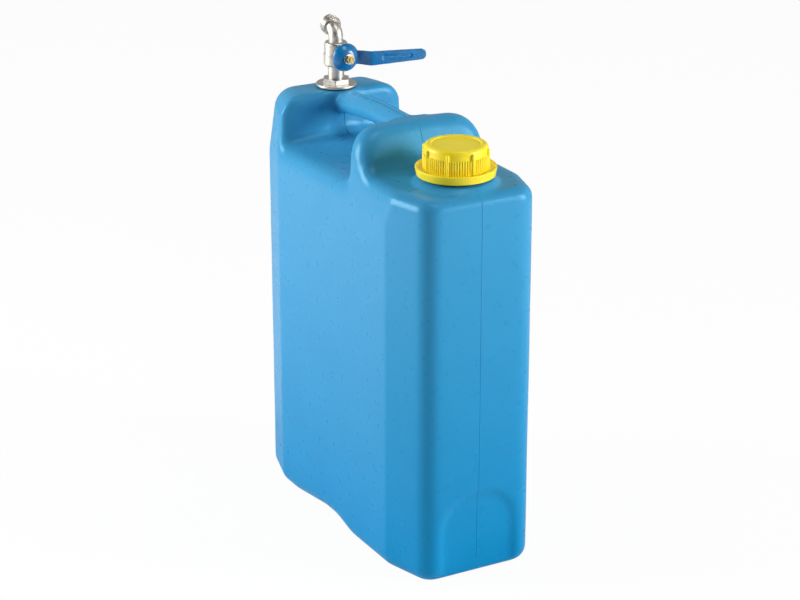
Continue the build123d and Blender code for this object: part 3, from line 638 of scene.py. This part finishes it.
def rib_tree():
    """Round-topped rods on a circle, standing upright."""
    tree, given, result = node_tree("cap_ribs", (
        ("Count", "NodeSocketInt"), ("Circle radius", "NodeSocketFloat"),
        ("Rod radius", "NodeSocketFloat"), ("Rod height", "NodeSocketFloat"),
        ("Rod stretch", "NodeSocketVector"), ("Place", "NodeSocketVector"),
        ("Material", "NodeSocketMaterial")))
    add = tree.nodes.new
    link = tree.links.new
    circle = add("GeometryNodeCurvePrimitiveCircle")
    circle.inputs["Resolution"].default_value = 720
    spots = add("GeometryNodeCurveToPoints")
    rod = add("GeometryNodeMeshCylinder")
    rod.inputs["Vertices"].default_value = 16
    end = add("GeometryNodeMeshUVSphere")
    end.inputs["Segments"].default_value = 16
    end.inputs["Rings"].default_value = 10
    half = add("ShaderNodeMath")
    half.operation = "MULTIPLY"
    half.inputs[1].default_value = 0.5
    lift = add("ShaderNodeCombineXYZ")
    raise_end = add("GeometryNodeTransform")
    together = add("GeometryNodeJoinGeometry")
    stretch = add("GeometryNodeTransform")
    copies = add("GeometryNodeInstanceOnPoints")
    heading = add("ShaderNodeVectorMath")
    heading.operation = "NORMALIZE"
    where = add("GeometryNodeInputPosition")
    facing = add("FunctionNodeAlignRotationToVector")
    facing.axis = "X"
    move = add("GeometryNodeTransform")
    real = add("GeometryNodeRealizeInstances")
    paint = add("GeometryNodeSetMaterial")
    link(given.outputs["Circle radius"], circle.inputs["Radius"])
    link(circle.outputs["Curve"], spots.inputs["Curve"])
    link(given.outputs["Count"], spots.inputs["Count"])
    link(given.outputs["Rod radius"], rod.inputs["Radius"])
    link(given.outputs["Rod height"], rod.inputs["Depth"])
    link(given.outputs["Rod radius"], end.inputs["Radius"])
    link(given.outputs["Rod height"], half.inputs[0])
    link(half.outputs[0], lift.inputs["Z"])
    link(end.outputs["Mesh"], raise_end.inputs["Geometry"])
    link(lift.outputs["Vector"], raise_end.inputs["Translation"])
    link(rod.outputs["Mesh"], together.inputs["Geometry"])
    link(raise_end.outputs["Geometry"], together.inputs["Geometry"])
    link(together.outputs["Geometry"], stretch.inputs["Geometry"])
    link(given.outputs["Rod stretch"], stretch.inputs["Scale"])
    link(stretch.outputs["Geometry"], copies.inputs["Instance"])
    link(spots.outputs["Points"], copies.inputs["Points"])
    link(where.outputs["Position"], heading.inputs[0])
    link(heading.outputs["Vector"], facing.inputs["Vector"])
    link(facing.outputs["Rotation"], copies.inputs["Rotation"])
    link(copies.outputs["Instances"], move.inputs["Geometry"])
    link(given.outputs["Place"], move.inputs["Translation"])
    link(move.outputs["Geometry"], real.inputs["Geometry"])
    link(real.outputs["Geometry"], paint.inputs["Geometry"])
    link(given.outputs["Material"], paint.inputs["Material"])
    link(paint.outputs["Geometry"], result.inputs["Geometry"])
    return tree


RIBS = rib_tree()
CAP_TOP_Z = 0.4556
CAP_DISH_Z = 0.4542
CAP_CEILING_Z = 0.4522
CAP_LIP_TOP_Z = 0.4320
CAP_GUTTER_Z = 0.4296
CAP_LIP_CEILING_Z = 0.4276
CAP_FOOT_Z = 0.4233
CAP_LIP_INNER_R = 0.0378
CAP_BORE_R = 0.031

cap_shell = spun("cap_shell", (
    (0, CAP_CEILING_Z, 0), (0, CAP_DISH_Z, 0), (0.0246, CAP_DISH_Z, 0.0005),
    (0.0256, CAP_TOP_Z, 0.0005), (0.0320, CAP_TOP_Z, 0.0042), (0.0332, CAP_GUTTER_Z, 0.0008),
    (0.0380, CAP_GUTTER_Z, 0.0008), (0.0396, CAP_LIP_TOP_Z, 0.0006),
    (0.0414, CAP_LIP_TOP_Z, 0.0008), (0.0398, CAP_FOOT_Z, 0.0005),
    (CAP_LIP_INNER_R, CAP_FOOT_Z, 0.0004), (CAP_LIP_INNER_R, CAP_LIP_CEILING_Z, 0.0008),
    (CAP_BORE_R, CAP_LIP_CEILING_Z, 0.0004), (CAP_BORE_R, CAP_CEILING_Z, 0.0005)),
    (FILLER_X, 0, 0), steps=192)
cap_shell.data.materials.append(yellow_plastic)
main_ribs = grown("main_ribs", RIBS, {
    "Count": 8, "Circle radius": 0.0327, "Rod radius": 0.0018, "Rod height": 0.0208,
    "Rod stretch": (1.2, 1.0, 1.0), "Place": (FILLER_X, 0, CAP_GUTTER_Z + 0.0103),
    "Material": yellow_plastic})
fine_ribs = grown("fine_ribs", RIBS, {
    "Count": 80, "Circle radius": 0.0328, "Rod radius": 0.0010, "Rod height": 0.0150,
    "Rod stretch": (1.0, 1.0, 1.0), "Place": (FILLER_X, 0, CAP_GUTTER_Z + 0.0078),
    "Material": yellow_plastic})
inner_thread = grown("inner_thread", THREAD, {
    "Turns": 2.0, "Radius": CAP_BORE_R, "Pitch": CAP_PITCH, "Depth": 0.0009, "Rotation": (0, 0, 0),
    "Place": (FILLER_X, 0, 0.4300), "Material": yellow_plastic})
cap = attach(joined("ribbed_cap", [cap_shell, main_ribs, fine_ribs, inner_thread]), "cap")
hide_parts("filler_cap")


# Tap metal: nickel-plated brass, its bright layer a little uneven, and bare turned brass
def metal_material(name, low, high, gloss, turned=(1, 1, 1), scratch=0.05):
    """A metal whose colour and gloss wander, with fine tool marks along one direction."""
    material, shader = shader_material(name, gloss, 1.0)
    vary_colour(material, shader, noise_node(material, 120, 4.0), low, high)
    vary_roughness(material, shader, noise_node(material, 260, 4.0), gloss * 0.8, gloss * 1.3)
    marks = noise_node(material, 700, 2.0, turned)
    add_bump(material, shader, marks.outputs["Fac"], scratch, 0.0002)
    return material


nickel = metal_material("nickel_plate", (0.64, 0.61, 0.55), (0.76, 0.73, 0.67), 0.38, (1, 1, 4))
cast_nickel = metal_material(
    "cast_nickel", (0.60, 0.57, 0.51), (0.74, 0.71, 0.64), 0.44, scratch=0.14)
brass = metal_material("turned_brass", (0.62, 0.43, 0.16), (0.78, 0.58, 0.27), 0.27, (4, 1, 1))
steel = metal_material("zinc_steel", (0.52, 0.53, 0.54), (0.68, 0.69, 0.70), 0.3)

FLAT_ANGLE = radians(1)
BROKEN_EDGE_ANGLE = radians(35)


def machined(node, name, material, width):
    """A CAD copy with its edges broken, as a tumbled or machined piece has them."""
    piece = cad_copy(node, name)
    form = bmesh.new()
    form.from_mesh(piece.data)
    bmesh.ops.dissolve_limit(
        form, angle_limit=FLAT_ANGLE, use_dissolve_boundaries=False,
        verts=form.verts, edges=form.edges)
    form.to_mesh(piece.data)
    form.free()
    edge = piece.modifiers.new("edge", "BEVEL")
    edge.width = width
    edge.segments = 3
    edge.limit_method = "ANGLE"
    edge.angle_limit = BROKEN_EDGE_ANGLE
    baked(piece)
    piece.data.materials.append(material)
    return shaded(piece)


# Wall fitting: a turned flange and hexagon on a rubber gasket
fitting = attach(machined("tap_flange", "flange_fitting", nickel, 0.0006), "container")
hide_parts("tap_flange")

# Tail: the turned nipple between the fitting and the valve
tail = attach(machined("valve_tail", "turned_tail", nickel, 0.0004), "container")
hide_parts("valve_tail")

# Valve body and spout: one brass casting, plated, with a raised seam round its middle and a
# thread on the spout's end collar
SEAM_INNER_R = 0.0120
SEAM_R = 0.01355
SEAM_LOW_Z = 0.4846
SEAM_HIGH_Z = 0.4862
COLLAR_R = 0.01045
COLLAR_TURN = (0, radians(-75), 0)
COLLAR_THREAD_START = (-0.14022, 0, 0.51496)
valve_casting = machined("valve_body", "valve_casting", cast_nickel, 0.0006)
valve_seam = spun("valve_seam", (
    (SEAM_INNER_R, SEAM_LOW_Z, 0), (SEAM_R, SEAM_LOW_Z, 0.0003), (SEAM_R, SEAM_HIGH_Z, 0.0003),
    (SEAM_INNER_R, SEAM_HIGH_Z, 0)), (TAP_X, 0, 0), steps=96)
spout_thread = grown("spout_thread", THREAD, {
    "Turns": 4.0, "Radius": COLLAR_R, "Pitch": 0.0018, "Depth": 0.0004, "Rotation": COLLAR_TURN,
    "Place": COLLAR_THREAD_START, "Material": cast_nickel})
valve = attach(joined("plated_valve", [valve_casting, valve_seam, spout_thread]), "container")
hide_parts("valve_body")

# Gland nut, washer and lever nut on the stem
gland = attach(machined("gland_nut", "gland", brass, 0.0003), "container")
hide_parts("gland_nut")
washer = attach(machined("lever_washer", "washer", steel, 0.0002), "tap_lever")
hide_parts("lever_washer")
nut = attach(machined("lever_nut", "stem_nut", brass, 0.0003), "tap_lever")
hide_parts("lever_nut")


# Lever: a metal arm dipped in blue vinyl, which rounds every edge
def vinyl_material():
    """Soft glossy vinyl with a slight orange peel."""
    material, shader = shader_material("blue_vinyl", 0.3)
    shader.inputs["Coat Weight"].default_value = 0.5
    shader.inputs["Coat Roughness"].default_value = 0.12
    vary_colour(
        material, shader, noise_node(material, 50, 3.0), (0.0, 0.170, 0.43), (0.0, 0.200, 0.50))
    vary_roughness(material, shader, noise_node(material, 220, 3.0), 0.26, 0.4)
    add_bump(material, shader, noise_node(material, 420, 2.0).outputs["Fac"], 0.05, 0.0004)
    return material


def dipped(node, name, material, voxel, rounds):
    """A CAD copy grown over with a coat that softens every edge, as an even mesh."""
    piece = cad_copy(node, name)
    coat = piece.modifiers.new("coat", "REMESH")
    coat.mode = "VOXEL"
    coat.voxel_size = voxel
    soften = piece.modifiers.new("soften", "SMOOTH")
    soften.factor = 0.5
    soften.iterations = rounds
    baked(piece)
    smooth_faces(piece.data)
    piece.data.materials.append(material)
    return piece


VINYL_VOXEL = 0.0005
VINYL_ROUNDS = 4
blue_vinyl = vinyl_material()
dipped_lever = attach(
    dipped("lever", "dipped_lever", blue_vinyl, VINYL_VOXEL, VINYL_ROUNDS), "tap_lever")
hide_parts("lever")


# Small and inner pieces keep their CAD solids and get the materials of the real ones
def plain_material(name, low, high, roughness, grain):
    """Rubber or plastic with a fine grain."""
    material, shader = shader_material(name, roughness)
    vary_colour(material, shader, noise_node(material, grain / 6, 3.0), low, high)
    vary_roughness(
        material, shader, noise_node(material, grain / 3, 3.0), roughness - 0.06, roughness + 0.08)
    add_bump(material, shader, noise_node(material, grain, 2.0).outputs["Fac"], 0.12, 0.0003)
    return material


rubber = plain_material("black_rubber", (0.018, 0.018, 0.018), (0.03, 0.03, 0.032), 0.6, 900)
seat_plastic = plain_material("seat_plastic", (0.80, 0.80, 0.77), (0.88, 0.88, 0.86), 0.4, 700)
foam = plain_material("foam_liner", (0.76, 0.76, 0.72), (0.85, 0.85, 0.82), 0.75, 1500)
for node, material in (
        ("tap_gasket", rubber), ("inner_gasket", rubber), ("tail_o_ring", rubber),
        ("cap_seal", foam), ("lower_seat", seat_plastic), ("upper_seat", seat_plastic),
        ("thrust_washer", seat_plastic),
        ("stem_packing", seat_plastic), ("lock_nut", brass), ("valve_stem", brass),
        ("valve_ball", nickel), ("stop_pin", steel)):
    cad[node].material_slots[0].material = material
